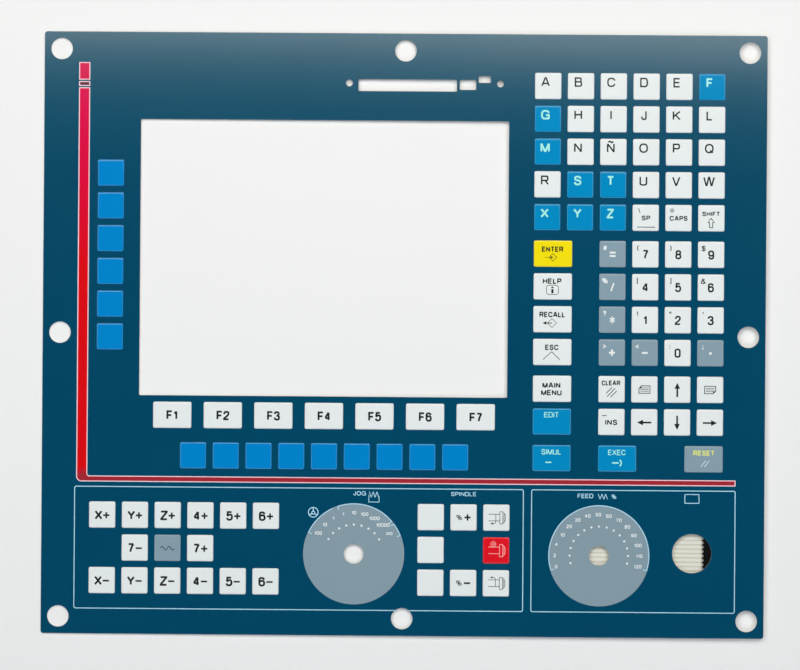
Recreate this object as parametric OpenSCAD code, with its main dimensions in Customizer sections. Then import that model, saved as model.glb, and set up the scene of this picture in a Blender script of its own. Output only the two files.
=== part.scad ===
// Membrane keypad of a machine's operator panel: a printed and embossed face film over a
// two-film contact circuit, all cut to one outline, with a film tail and a plug behind it.
// Millimetres. X runs to the right of the face, Y to its top and Z out towards the user.
// The origin is at the middle of the sheet, level with the underside of the plug.

/* [Sheet] */
// Width of the sheet
panel_w = 420; // [418:0.5:428]
// Height of the sheet
panel_h = 350; // [348:0.5:358]
// Radius of the sheet's outer corners
panel_r = 1.5; // [0.5:0.1:4]

/* [Layers] */
// Thickness of the face film
overlay_t = 0.25; // [0.2:0.01:0.3]
// Thickness of the adhesive under the face film
overlay_adhesive_t = 0.1; // [0.05:0.01:0.2]
// Thickness of each contact film
circuit_t = 0.125; // [0.1:0.005:0.175]
// Thickness of the spacer between the contact films
spacer_t = 0.2; // [0.15:0.01:0.3]
// Thickness of the adhesive on the back
rear_adhesive_t = 0.13; // [0.05:0.01:0.2]
// Thickness of the peel-off liner
liner_t = 0.12; // [0.08:0.01:0.15]
// Thickness of one layer of ink
ink_t = 0.02; // [0.01:0.005:0.04]

/* [Keys] */
// Side of a square key
key_w = 15.2; // [14:0.1:16]
// Width of a wide key
wide_key_w = 22.2; // [21:0.1:23]
// Spacing of the keys, across and down
key_pitch = 19.05; // [18.5:0.05:19.3]
// Spacing of the function keys below the display
function_pitch = 29.4; // [28:0.1:29.6]
// Corner radius of a key
key_r = 1; // [0.6:0.1:2]
// Height that a key is embossed above the film
emboss_h = 0.4; // [0.2:0.05:0.6]
// How far a key's walls lean in over that height
emboss_lean = 0.3; // [0.2:0.05:0.5]
// Room that the adhesive leaves round a key
adhesive_margin = 0.5; // [0.2:0.1:0.8]
// Diameter of the contact chamber under a key
chamber_d = 11; // [10:0.5:13]
// Diameter of a contact pad
pad_d = 8; // [6:0.5:9]
// Width of the air channels between the chambers
vent_w = 1; // [0.5:0.1:2]

/* [Key places] */
// From the display window's lower edge down to the row of function keys
function_drop = 11.35; // [10.9:0.05:11.7]
// From the function keys down to the row of command keys and soft keys
command_drop = 23.45; // [23.2:0.05:24]
// From the command keys up to the first row of cursor keys
cursor_rise = 40.3; // [40:0.05:40.8]
// From the cursor keys up to the first row of number keys
numbers_rise = 78.45; // [78:0.05:79]
// From the number keys up to the first row of letter keys
letters_rise = 97.4; // [96.5:0.1:98]
// First letter key, across
letters_x = 82.8; // [82:0.1:84]
// First function key, across
function_x = -134.3; // [-135:0.1:-133.5]
// First soft key under the display, across
soft_x = -122.05; // [-123:0.05:-121]
// Column of soft keys beside the display, across
side_x = -170.95; // [-172:0.05:-170]
// From the display window's middle up to the first soft key beside it
side_rise = 48.9; // [48:0.05:49.5]
// First jog key, across
jog_x = -174.6; // [-175.5:0.05:-174]
// From the frames' upper edge down to the first row of jog and spindle keys
jog_drop = 16.65; // [16:0.05:17]
// First spindle key, across
spindle_x = 16.45; // [16:0.05:17]

/* [Cut-outs] */
// Width of the display window
window_w = 214; // [213:0.1:215]
// Height of the display window
window_h = 160.6; // [159.5:0.1:161.5]
// Middle of the display window, across
window_x = -46.7; // [-47.5:0.1:-46]
// Middle of the display window, up
window_y = 44.05; // [43.5:0.05:44.5]
// Corner radius of the window and the slots
window_r = 0.6; // [0.3:0.1:1]
// Diameter of the eight fixing holes
fixing_d = 12.5; // [11:0.1:13]
// Distance of the fixing holes from the sheet's edges
fixing_inset = 10; // [9:0.1:11]
// Diameter of the knob shaft holes
shaft_d = 11.6; // [10:0.1:12]
// Middle of the jog dial, across
jog_dial_x = -28.2; // [-29:0.1:-27.5]
// Middle of the feed dial, across
feed_dial_x = 114.2; // [113.5:0.1:115]
// From the frames' upper edge down to the middle of both dials
dial_drop = 38.3; // [37.5:0.1:39]
// Diameter of the stop button hole
stop_d = 22.8; // [22:0.1:23]
// Middle of the stop button hole, across
stop_x = 168.1; // [167.5:0.1:168.6]
// From the middle of the dials up to the middle of the stop button hole
stop_rise = 1.7; // [1:0.1:2.5]
// Length of the card slot
card_slot_w = 57.2; // [55:0.1:58]
// Height of the card slot
card_slot_h = 6.9; // [6:0.1:8]
// Middle of the card slot, across
card_slot_x = 1.2; // [0.5:0.1:1.8]
// Middle of the card slot, up
card_slot_y = 144.9; // [144:0.1:146]
// Width of the eject button slot
eject_w = 9.6; // [9:0.1:10]
// Height of the eject button slot
eject_h = 5.8; // [5:0.1:6.5]
// Middle of the eject button slot, across
eject_x = 36.2; // [35.9:0.1:36.7]
// Middle of the eject button slot, up
eject_y = 145.4; // [145:0.1:146]
// Width of the card lamp slot
lamp_w = 7; // [6:0.1:7.6]
// Height of the card lamp slot
lamp_h = 3.9; // [3:0.1:4.5]
// Middle of the card lamp slot, across
lamp_x = 45.9; // [45.6:0.1:46.5]
// Middle of the card lamp slot, up
lamp_y = 148.6; // [148:0.1:149]
// Diameter of the card reader's screw holes
card_screw_d = 4; // [3:0.1:4.5]
// Spacing of the card reader's screw holes
card_screw_spacing = 87.8; // [87:0.1:89]
// Middle between those screw holes, across
card_screw_x = 11.2; // [10.9:0.1:11.5]
// Those screw holes, up
card_screw_y = 146.1; // [145:0.1:147]

/* [Print] */
// Diameter of the grey dial faces
dial_d = 58.8; // [56:0.1:60]
// Width of the band's upright, with its white lines
band_w = 6.5; // [6:0.1:7]
// Middle of the band's upright, across
band_x = -186.7; // [-187.2:0.1:-186.2]
// Top of the band
band_top = 157.2; // [155:0.1:159]
// Height of the band's top block
band_block_h = 10.3; // [9:0.1:11]
// Height of the small block below it
band_tab_h = 2.8; // [2.5:0.1:3]
// Gap between the band's blocks
band_gap = 0.8; // [0.5:0.1:1.2]
// Height of the band's rail, with its white lines
rail_h = 3.5; // [3.2:0.1:4]
// From the command keys down to the middle of the band's rail
rail_drop = 13.9; // [13.6:0.1:14.1]
// Right end of the band's rail
rail_end = 193.2; // [190:0.1:195]
// Outer radius of the bend between upright and rail
band_r = 3; // [2:0.1:3.5]
// Inner radius of that bend
band_inner_r = 1.2; // [0.8:0.1:2]
// Width of the band's white lines
band_line = 0.55; // [0.4:0.05:0.8]
// Width of the frames' white lines
frame_line = 0.5; // [0.4:0.05:0.8]
// Corner radius of the frames
frame_r = 1.2; // [1:0.1:2]
// From the middle of the rail down to the upper edge of both frames
frame_drop = 4.3; // [4:0.1:4.6]
// Height of both frames
frame_h = 71.3; // [70.5:0.1:72]
// Left side of the left frame
left_frame_x0 = -191; // [-192:0.1:-190]
// Right side of the left frame
left_frame_x1 = 70.4; // [69:0.1:71.5]
// Left side of the right frame
right_frame_x0 = 74.7; // [74:0.1:76]
// Right side of the right frame
right_frame_x1 = 193.3; // [192:0.1:194]

/* [Tail and plug] */
// Number of lines in the tail
line_count = 21; // [17:1:23]
// Spacing of the lines in the tail and the plug
line_pitch = 2.54; // [2.5:0.01:2.54]
// Width of a printed track
track_w = 1.8; // [1.2:0.1:1.8]
// Film beyond the outer lines
tail_margin = 1.4; // [1:0.1:2]
// Where the tail bends down out of the film, across
tail_x = 78; // [77:0.1:80]
// From the middle of the dials up to the middle of the tail
tail_rise = 0.26; // [-0.5:0.02:1]
// Radius of the tail's two bends
bend_r = 1; // [0.8:0.1:1.2]
// Steepness of the tail between its bends, in degrees
bend_angle = 60; // [45:5:70]
// Room round the tail where it passes the film and the liner
tail_room = 0.6; // [0.3:0.1:1]
// Back of the plug, where the tail goes in, across
plug_x = 175.3; // [174:0.1:176]
// Length of the plug
plug_l = 12.6; // [12:0.1:14]
// Height of the plug
plug_h = 2.6; // [2.5:0.1:3]
// Plastic on each side of the tail's slot
plug_wall = 0.6; // [0.4:0.1:1]
// Length of the teeth along the plug's back edge
tooth_l = 1.3; // [0.8:0.1:1.6]
// Width of a tooth at its root
tooth_w = 1.6; // [1:0.1:2]
// How far the tail goes into the plug
tail_grip = 4.5; // [4:0.1:5]
// Side of a contact's box
contact_w = 1.3; // [1.2:0.05:1.4]
// Thickness of the contact metal
contact_t = 0.22; // [0.2:0.01:0.25]
// Width of a contact's tongue
tongue_w = 1; // [0.8:0.1:1.2]
// Length of a contact's tongue
tongue_l = 3.5; // [3:0.1:3.8]
// Thickness of the plug's front wall
front_wall = 1; // [0.8:0.1:1.5]
// Room round the tail and the contacts in the plug
plug_room = 0.06; // [0.04:0.01:0.1]

/* [Hidden] */
$fn = 48;

// Undersides of the layers, from the liner, which lies on the plug, up to the face
liner_z = plug_h;
rear_adhesive_z = liner_z + liner_t;
lower_z = rear_adhesive_z + rear_adhesive_t;
spacer_z = lower_z + circuit_t;
upper_z = spacer_z + spacer_t;
overlay_adhesive_z = upper_z + circuit_t;
overlay_z = overlay_adhesive_z + overlay_adhesive_t;
face_z = overlay_z + overlay_t;
key_top_z = face_z + emboss_h;

// How far a cutting or joining solid runs past the face that it works on
over = 0.1;

// Rows of the layout, each placed from the one before it, starting at the display window
function_y = window_y - window_h / 2 - function_drop;
command_y = function_y - command_drop;
cursor_y = command_y + cursor_rise;
numbers_y = cursor_y + numbers_rise;
letters_y = numbers_y + letters_rise;
side_y = window_y + side_rise;
rail_y = command_y - rail_drop;
frame_top = rail_y - frame_drop;
jog_y = frame_top - jog_drop;
dial_y = frame_top - dial_drop;
stop_y = dial_y + stop_rise;
tail_y = dial_y + tail_rise;

// Each block of keys has its first key's place, its spacing across, its key width and its rows
// w white, b blue, g grey, y yellow, r red, and a point where there is no key
numbers_x = letters_x + 2 * key_pitch;
wide_shift = (wide_key_w - key_w) / 2;
modes_x = letters_x + wide_shift;
execute_x = numbers_x + wide_shift;
reset_x = numbers_x + 3 * key_pitch - wide_shift;
blocks = [
    [letters_x, letters_y, key_pitch, key_w, ["wwwwwb", "bwwwww", "bwwwww", "wbbwww", "bbbwww"]],
    [numbers_x, numbers_y, key_pitch, key_w, ["gwww", "gwww", "gwww", "ggwg"]],
    [numbers_x, cursor_y, key_pitch, key_w, ["wwww", "wwww"]],
    [modes_x, numbers_y, key_pitch, wide_key_w, ["y", "w", "w", "w"]],
    [modes_x, cursor_y, key_pitch, wide_key_w, ["w", "b"]],
    [modes_x, command_y, key_pitch, wide_key_w, ["b"]],
    [execute_x, command_y, key_pitch, wide_key_w, ["b"]],
    [reset_x, command_y, key_pitch, wide_key_w, ["g"]],
    [function_x, function_y, function_pitch, wide_key_w, ["wwwwwww"]],
    [soft_x, command_y, key_pitch, key_w, ["bbbbbbbbb"]],
    [side_x, side_y, key_pitch, key_w, ["b", "b", "b", "b", "b", "b"]],
    [jog_x, jog_y, key_pitch, key_w, ["wwwwww", ".wgw..", "wwwwww"]],
    [spindle_x, jog_y, key_pitch, key_w, ["www", "w.r", "www"]]
];

// Every key as its place across and up, its width and its colour
keys = [
    for (b = blocks) for (row = [0 : len(b[4]) - 1]) for (col = [0 : len(b[4][row]) - 1])
        if (b[4][row][col] != ".") [b[0] + col * b[2], b[1] - row * key_pitch, b[3], b[4][row][col]]
];

// The tail's run: down out of the film in two bends, then level into the plug
tail_w = (line_count - 1) * line_pitch + track_w + 2 * tail_margin;
contact_z = (plug_h - contact_w) / 2;
tail_z = contact_z - ink_t - circuit_t;
tail_end = plug_x + tail_grip;
tail_drop = lower_z - tail_z;
bend_drop = bend_r * (1 - cos(bend_angle));
slope_l = (tail_drop - 2 * bend_drop) / sin(bend_angle);
bend_run = 2 * bend_r * sin(bend_angle) + slope_l * cos(bend_angle);
bend_length = 2 * bend_r * bend_angle * PI / 180 + slope_l;
tail_window_end = tail_end + bend_length - bend_run;
pin_w = contact_w - 2 * contact_t;

// Points of one rounded corner, and of a rounded rectangle about the origin
function corner(x, y, r, start, steps) =
    [for (k = [0 : steps]) [x + r * cos(start + 90 * k / steps), y + r * sin(start + 90 * k / steps)]];
function rounded(w, h, r, steps = 4) = concat(
    corner(w / 2 - r, h / 2 - r, r, 0, steps),
    corner(r - w / 2, h / 2 - r, r, 90, steps),
    corner(r - w / 2, r - h / 2, r, 180, steps),
    corner(w / 2 - r, r - h / 2, r, 270, steps)
);
function lift(outline, z) = [for (p = outline) [p[0], p[1], z]];

module rounded_rectangle(x, y, w, h, r) {
    translate([x, y]) polygon(rounded(w, h, r));
}

// A solid whose walls run straight from a lower outline to an upper one of as many points
module lofted(low, z0, high, z1) {
    n = len(low);
    polyhedron(
        points = concat(lift(low, z0), lift(high, z1)),
        faces = concat(
            [[for (i = [0 : n - 1]) i]],
            [[for (i = [n - 1 : -1 : 0]) n + i]],
            [for (i = [0 : n - 1]) [i, n + i, n + (i + 1) % n, (i + 1) % n]]
        )
    );
}

// The raised form of one key, standing on the level z, with its walls carried on below it
module key_form(key, z, steps) {
    spread = 2 * emboss_lean * over / emboss_h;
    translate([key[0], key[1], 0])
        lofted(
            rounded(key[2] + spread, key_w + spread, key_r, steps), z - over,
            rounded(key[2] - 2 * emboss_lean, key_w - 2 * emboss_lean, key_r, steps), z + emboss_h
        );
}

module fixing_holes() {
    x = panel_w / 2 - fixing_inset;
    y = panel_h / 2 - fixing_inset;
    for (i = [-1 : 1]) for (j = [-1 : 1])
        if (i != 0 || j != 0) translate([i * x, j * y]) circle(d = fixing_d);
}

module shaft_holes() {
    for (x = [jog_dial_x, feed_dial_x]) translate([x, dial_y]) circle(d = shaft_d);
}

module card_cutouts() {
    rounded_rectangle(card_slot_x, card_slot_y, card_slot_w, card_slot_h, window_r);
    rounded_rectangle(eject_x, eject_y, eject_w, eject_h, window_r);
    rounded_rectangle(lamp_x, lamp_y, lamp_w, lamp_h, window_r);
    for (side = [-1, 1])
        translate([card_screw_x + side * card_screw_spacing / 2, card_screw_y]) circle(d = card_screw_d);
}

// The outline that every layer is cut to, with all the cut-outs that go right through
module sheet_outline() {
    difference() {
        polygon(rounded(panel_w, panel_h, panel_r));
        rounded_rectangle(window_x, window_y, window_w, window_h, window_r);
        fixing_holes();
        shaft_holes();
        translate([stop_x, stop_y]) circle(d = stop_d);
        card_cutouts();
    }
}

module layer(z, t) {
    translate([0, 0, z]) linear_extrude(t) children();
}

// The slit that lets the tail down through the adhesive and the liner
module tail_slit() {
    translate([tail_x - tail_room, tail_y - tail_w / 2 - tail_room])
        square([bend_run + 2 * tail_room, tail_w + 2 * tail_room]);
}

// Face film, pressed up into a shallow form at each key, so that it is hollow beneath
module graphic_overlay() {
    color("#04446a") difference() {
        union() {
            layer(overlay_z, overlay_t) sheet_outline();
            for (key = keys) key_form(key, face_z, 3);
        }
        for (key = keys) key_form(key, overlay_z, 1);
    }
}

// Ink of one colour on the flat tops of its keys
module key_print(code) {
    lean = 2 * emboss_lean;
    layer(key_top_z, ink_t)
        for (key = keys) if (key[3] == code)
            translate([key[0], key[1]]) polygon(rounded(key[2] - lean, key_w - lean, key_r, 3));
}

module white_key_print() { color("#eceeee") key_print("w"); }
module blue_key_print() { color("#0088cd") key_print("b"); }
module grey_key_print() { color("#8598a5") key_print("g"); }
module yellow_key_print() { color("#f5e300") key_print("y"); }
module red_key_print() { color("#e0101c") key_print("r"); }

// Grey faces of the two dials, round the shaft holes
module dial_print() {
    color("#8598a5") layer(face_z, ink_t) difference() {
        for (x = [jog_dial_x, feed_dial_x]) translate([x, dial_y]) circle(d = dial_d);
        shaft_holes();
    }
}

// The band's two separate blocks, drawn in from their outlines by inset
module band_blocks(inset) {
    tab_top = band_top - band_block_h - band_gap;
    left = band_x - band_w / 2 + inset;
    w = band_w - 2 * inset;
    translate([left, band_top - band_block_h + inset]) square([w, band_block_h - 2 * inset]);
    translate([left, tab_top - band_tab_h + inset]) square([w, band_tab_h - 2 * inset]);
}

// What is cut from a square corner to round it, the corner being at the origin
module spandrel(r) {
    difference() {
        square(r);
        translate([r, r]) circle(r);
    }
}

// The band's upright and rail, drawn in from their outline by inset
module band_run(inset) {
    left = band_x - band_w / 2 + inset;
    right = band_x + band_w / 2 - inset;
    bottom = rail_y - rail_h / 2 + inset;
    top = rail_y + rail_h / 2 - inset;
    upright_top = band_top - band_block_h - band_tab_h - 2 * band_gap - inset;
    difference() {
        union() {
            translate([left, bottom]) square([right - left, upright_top - bottom]);
            translate([left, bottom]) square([rail_end - inset - left, top - bottom]);
            translate([right, top]) spandrel(band_inner_r + inset);
        }
        translate([left, bottom]) spandrel(band_r - inset);
    }
}

module red_band_print() {
    color("#d8101c") layer(face_z, ink_t) {
        band_blocks(band_line);
        band_run(band_line);
    }
}

// Outline of a frame, as wide as its line
module frame(x0, x1) {
    x = (x0 + x1) / 2;
    y = frame_top - frame_h / 2;
    w = x1 - x0;
    h = frame_h;
    difference() {
        rounded_rectangle(x, y, w, h, frame_r);
        rounded_rectangle(x, y, w - 2 * frame_line, h - 2 * frame_line, frame_r - frame_line);
    }
}

// White lines round the band, and the two frames, broken by the fixing hole that they meet
module white_line_print() {
    color("#eceeee") layer(face_z, ink_t) difference() {
        union() {
            difference() {
                band_blocks(0);
                band_blocks(band_line);
            }
            difference() {
                band_run(0);
                band_run(band_line);
            }
            frame(left_frame_x0, left_frame_x1);
            frame(right_frame_x0, right_frame_x1);
        }
        fixing_holes();
    }
}

// Adhesive that is left open under the keys, so that the film there can be pressed
module overlay_adhesive() {
    color("#d9d8cc") layer(overlay_adhesive_z, overlay_adhesive_t) difference() {
        sheet_outline();
        for (key = keys) translate([key[0], key[1]])
            square([key[2] + 2 * adhesive_margin, key_w + 2 * adhesive_margin], center = true);
    }
}

module upper_circuit() {
    color("#dcdccb") layer(upper_z, circuit_t) sheet_outline();
}

module contact_pads(z) {
    layer(z, ink_t) for (key = keys) translate([key[0], key[1]]) circle(d = pad_d);
}

module upper_contacts() { color("#b4b7ba") contact_pads(upper_z - ink_t); }
module lower_contacts() { color("#b4b7ba") contact_pads(spacer_z); }

// Channels along each row of keys that let the air pass from chamber to chamber
module vents() {
    for (b = blocks) for (row = [0 : len(b[4]) - 1]) {
        filled = [for (col = [0 : len(b[4][row]) - 1]) if (b[4][row][col] != ".") col];
        first = filled[0];
        last = filled[len(filled) - 1];
        if (last > first)
            translate([b[0] + first * b[2], b[1] - row * key_pitch - vent_w / 2])
                square([(last - first) * b[2], vent_w]);
    }
}

module circuit_spacer() {
    color("#e4e3da") layer(spacer_z, spacer_t) difference() {
        sheet_outline();
        for (key = keys) translate([key[0], key[1]]) circle(d = chamber_d);
        vents();
    }
}

// Middle line of the tail, as points with the direction there, falling through both bends
function tail_line() = let(
    steps = 6,
    x1 = tail_x + bend_r * sin(bend_angle) + slope_l * cos(bend_angle),
    z1 = -bend_drop - slope_l * sin(bend_angle)
) concat(
    [[tail_x - over, 0, 0]],
    [for (k = [0 : steps]) let(a = bend_angle * k / steps)
        [tail_x + bend_r * sin(a), -bend_r * (1 - cos(a)), a]],
    [for (k = [0 : steps]) let(a = bend_angle * (1 - k / steps))
        [x1 + bend_r * (sin(bend_angle) - sin(a)), z1 - bend_r * (cos(a) - cos(bend_angle)), a]],
    [[tail_end, -tail_drop, 0]]
);

// The tail in side view, given the thickness of film over its middle line
module tail_section() {
    line = tail_line();
    half = circuit_t / 2;
    polygon(concat(
        [for (p = line) [p[0] + half * sin(p[2]), p[1] + half * cos(p[2])]],
        [for (i = [len(line) - 1 : -1 : 0]) let(p = line[i])
            [p[0] - half * sin(p[2]), p[1] - half * cos(p[2])]]
    ));
}

// Lower contact film, with the tail cut free from it on three sides and bent down behind
module lower_circuit() {
    color("#e6e2cf") union() {
        layer(lower_z, circuit_t) difference() {
            sheet_outline();
            translate([tail_x, tail_y - tail_w / 2 - tail_room])
                square([tail_window_end + tail_room - tail_x, tail_w + 2 * tail_room]);
        }
        translate([0, tail_y + tail_w / 2, lower_z + circuit_t / 2])
            rotate([90, 0, 0]) linear_extrude(tail_w) tail_section();
    }
}

// Places of the lines across the tail
function line_y(i) = tail_y + (i - (line_count - 1) / 2) * line_pitch;

module tail_tracks() {
    start = tail_x + bend_run + 2 * tail_room;
    color("#cfcab4") layer(tail_z + circuit_t, ink_t)
        for (i = [0 : line_count - 1])
            translate([start, line_y(i) - track_w / 2]) square([tail_end - start, track_w]);
}

module rear_adhesive() {
    color("#d9d8cc") layer(rear_adhesive_z, rear_adhesive_t) difference() {
        sheet_outline();
        tail_slit();
    }
}

module release_liner() {
    color("#e9e4d4") layer(liner_z, liner_t) difference() {
        sheet_outline();
        tail_slit();
    }
}

// A box from its left end, its middle across, its underside and its size
module box(x, y, z, size) {
    translate([x, y - size[1] / 2, z]) cube(size);
}

// Black plug with a slot for the tail, a cell for each contact and teeth over the tail
module plug_housing() {
    slot_w = tail_w + 2 * plug_room;
    w = slot_w + 2 * plug_wall;
    slot_z = tail_z - plug_room;
    slot_top = contact_z + contact_t + plug_room;
    cell_w = contact_w + 2 * plug_room;
    color("#16161a") union() {
        difference() {
            box(plug_x, tail_y, 0, [plug_l, w, plug_h]);
            box(plug_x - over, tail_y, slot_z, [tail_grip + plug_room + over, slot_w, slot_top - slot_z]);
            for (i = [0 : line_count - 1]) {
                box(plug_x + tail_grip, line_y(i), (plug_h - cell_w) / 2,
                    [plug_l - tail_grip - front_wall, cell_w, cell_w]);
                box(plug_x + plug_l - front_wall - over, line_y(i), (plug_h - pin_w) / 2,
                    [front_wall + 2 * over, pin_w, pin_w]);
            }
        }
        for (i = [0 : line_count])
            translate([plug_x, line_y(i - 0.5), slot_top]) linear_extrude(plug_h - slot_top)
                polygon([[over, -tooth_w / 2], [over, tooth_w / 2], [0, tooth_w / 2],
                    [-tooth_l, 0], [0, -tooth_w / 2]]);
    }
}

// Each contact is a square box for the pin, with a tongue that lies on its track
module plug_contacts() {
    box_x = plug_x + tail_grip + plug_room;
    box_l = plug_l - tail_grip - front_wall - 2 * plug_room;
    color("#c9ccd0") for (i = [0 : line_count - 1]) union() {
        difference() {
            box(box_x, line_y(i), contact_z, [box_l, contact_w, contact_w]);
            box(box_x - over, line_y(i), contact_z + contact_t, [box_l + 2 * over, pin_w, pin_w]);
        }
        box(box_x - tongue_l, line_y(i), contact_z, [tongue_l + over, tongue_w, contact_t]);
    }
}

graphic_overlay();
white_key_print();
blue_key_print();
grey_key_print();
yellow_key_print();
red_key_print();
dial_print();
red_band_print();
white_line_print();
overlay_adhesive();
upper_circuit();
upper_contacts();
circuit_spacer();
lower_contacts();
lower_circuit();
tail_tracks();
rear_adhesive();
release_liner();
plug_housing();
plug_contacts();
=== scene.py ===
import math

import bmesh
import bpy
import numpy as np
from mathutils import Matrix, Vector
from mathutils.geometry import delaunay_2d_cdt


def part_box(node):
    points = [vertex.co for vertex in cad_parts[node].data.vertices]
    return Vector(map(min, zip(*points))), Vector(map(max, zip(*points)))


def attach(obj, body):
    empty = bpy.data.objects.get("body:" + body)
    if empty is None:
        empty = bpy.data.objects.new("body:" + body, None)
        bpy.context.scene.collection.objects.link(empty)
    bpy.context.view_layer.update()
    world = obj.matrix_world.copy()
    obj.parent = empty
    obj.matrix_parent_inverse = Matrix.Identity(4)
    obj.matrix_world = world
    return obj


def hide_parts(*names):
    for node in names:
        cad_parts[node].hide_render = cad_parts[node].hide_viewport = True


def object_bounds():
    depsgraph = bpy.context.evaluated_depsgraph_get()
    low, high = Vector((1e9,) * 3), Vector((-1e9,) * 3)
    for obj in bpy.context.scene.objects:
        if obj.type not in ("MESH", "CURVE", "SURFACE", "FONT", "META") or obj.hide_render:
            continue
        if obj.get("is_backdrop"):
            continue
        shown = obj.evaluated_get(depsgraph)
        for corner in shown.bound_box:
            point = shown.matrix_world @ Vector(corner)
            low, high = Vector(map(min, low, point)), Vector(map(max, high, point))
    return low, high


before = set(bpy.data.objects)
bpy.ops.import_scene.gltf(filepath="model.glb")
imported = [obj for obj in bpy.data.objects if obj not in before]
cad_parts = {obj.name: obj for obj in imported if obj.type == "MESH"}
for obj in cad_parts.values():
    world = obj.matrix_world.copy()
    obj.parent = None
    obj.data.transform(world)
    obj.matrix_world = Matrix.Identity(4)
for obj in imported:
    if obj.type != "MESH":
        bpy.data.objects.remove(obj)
cad_low, cad_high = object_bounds()

# Camera
# It hangs over the sheet and looks straight down at the face, turned by half a degree, from far
# enough for the sides of the sheet to run parallel. The picture is 800 pixels wide and 670 high.
MM = 0.001
PICTURE_WIDTH = 800
FOCAL_PIXELS = 2747.3
SENSOR_WIDTH = 36.0
CAMERA_PLACE = (9.23 * MM, -1.02 * MM, 1600 * MM)
CAMERA_TURN = (0.000572, 0.007167, 0.007539)
lens = bpy.data.cameras.new("camera")
lens.sensor_width = SENSOR_WIDTH
lens.lens = SENSOR_WIDTH * FOCAL_PIXELS / PICTURE_WIDTH
watcher = bpy.data.objects.new("camera", lens)
watcher.location = CAMERA_PLACE
watcher.rotation_euler = CAMERA_TURN
bpy.context.scene.collection.objects.link(watcher)
bpy.context.scene.camera = watcher

# Plug housing
# The black plug on the end of the tail, moulded in glass-filled nylon, with a cell for each contact
# and a row of teeth over the tail. The film is pushed into its slot.


def linear(code):
    """An sRGB hex colour as linear red, green, blue and alpha."""
    parts = [int(code[i : i + 2], 16) / 255 for i in (1, 3, 5)]
    return [p / 12.92 if p <= 0.04045 else ((p + 0.055) / 1.055) ** 2.4 for p in parts] + [1.0]


def add(tree, kind, sockets=None, links=None, **properties):
    """Adds a node with its properties, the values of its sockets and the links into it."""
    made = tree.nodes.new(kind)
    for name, value in properties.items():
        setattr(made, name, value)
    for name, value in (sockets or {}).items():
        made.inputs[name].default_value = value
    for name, source in (links or {}).items():
        tree.links.new(source, made.inputs[name])
    return made


def blank(name):
    """A new material with an empty tree, and the place of each point in the sheet's frame."""
    made = bpy.data.materials.new(name)
    made.use_nodes = True
    made.node_tree.nodes.clear()
    place = add(made.node_tree, "ShaderNodeTexCoord").outputs["Object"]
    return made, made.node_tree, place


def dress(node, material):
    """Gives a CAD node's object the finish of the real piece."""
    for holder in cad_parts[node].material_slots:
        holder.material = material


# Moulded glass-filled nylon: black with a dull, very finely pitted skin, a little greyer where the
# glass comes up. The pits are drawn 0.3 mm apart, about three times too coarse, so that they show.
NYLON_PIT = 0.3
NYLON_CLOUD = 6
nylon, tree, place = blank("moulded_glass_filled_nylon")
cloud = add(
    tree,
    "ShaderNodeTexNoise",
    {"Scale": 1 / (NYLON_CLOUD * MM), "Detail": 4.0},
    {"Vector": place},
)
black = add(
    tree,
    "ShaderNodeMix",
    {6: linear("#060607"), 7: linear("#0C0C0E")},
    {0: cloud.outputs[0]},
    data_type="RGBA",
)
pits = add(tree, "ShaderNodeTexNoise", {"Scale": 1 / (NYLON_PIT * MM), "Detail": 2.0}, {"Vector": place})
skin = add(tree, "ShaderNodeBump", {"Strength": 0.3, "Distance": 0.02 * MM}, {"Height": pits.outputs[0]})
shader = add(
    tree,
    "ShaderNodeBsdfPrincipled",
    {"Roughness": 0.6, "IOR": 1.53, "Specular IOR Level": 0.05},
    {"Base Color": black.outputs[2], "Normal": skin.outputs[0]},
)
add(tree, "ShaderNodeOutputMaterial", links={"Surface": shader.outputs[0]})
dress("plug_housing", nylon)

# the mould leaves a small radius on every edge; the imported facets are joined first, or no edge is shared
FACET_GAP = 0.001
MOULD_RADIUS = 0.1
SHARP_EDGE = math.radians(40)
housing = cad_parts["plug_housing"]
facets = housing.modifiers.new("joined_facets", "WELD")
facets.merge_threshold = FACET_GAP * MM
rounding = housing.modifiers.new("moulded_edges", "BEVEL")
rounding.width = MOULD_RADIUS * MM
rounding.segments = 2
rounding.limit_method = "ANGLE"
rounding.angle_limit = SHARP_EDGE

# Plug contacts
# Stamped brass strip, tin plated and folded into a square box for the pin, with a tongue that
# presses on its track. They are pushed into the cells of the plug.

# Tin plate: pale grey metal with a soft shine, drawn along the strip by the stamping.
STAMPING = 0.4
tin, tree, place = blank("stamped_tinned_brass")
along = add(tree, "ShaderNodeMapping", {"Scale": (0.1, 1.0, 1.0)}, {"Vector": place})
drawn = add(
    tree,
    "ShaderNodeTexNoise",
    {"Scale": 1 / (STAMPING * MM), "Detail": 3.0},
    {"Vector": along.outputs[0]},
)
plate = add(
    tree,
    "ShaderNodeMix",
    {6: linear("#C6C8CB"), 7: linear("#D6D6D2")},
    {0: drawn.outputs[0]},
    data_type="RGBA",
)
dull = add(tree, "ShaderNodeMapRange", {"To Min": 0.24, "To Max": 0.4}, {"Value": drawn.outputs[0]})
shader = add(
    tree,
    "ShaderNodeBsdfPrincipled",
    {"Metallic": 1.0},
    {"Base Color": plate.outputs[2], "Roughness": dull.outputs[0]},
)
add(tree, "ShaderNodeOutputMaterial", links={"Surface": shader.outputs[0]})
dress("plug_contacts", tin)

# Release liner
# The paper that covers the adhesive on the back until the keypad is stuck to its machine, a bleached
# paper with a silicone coat, cut to the sheet's outline with a slit for the tail.

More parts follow.
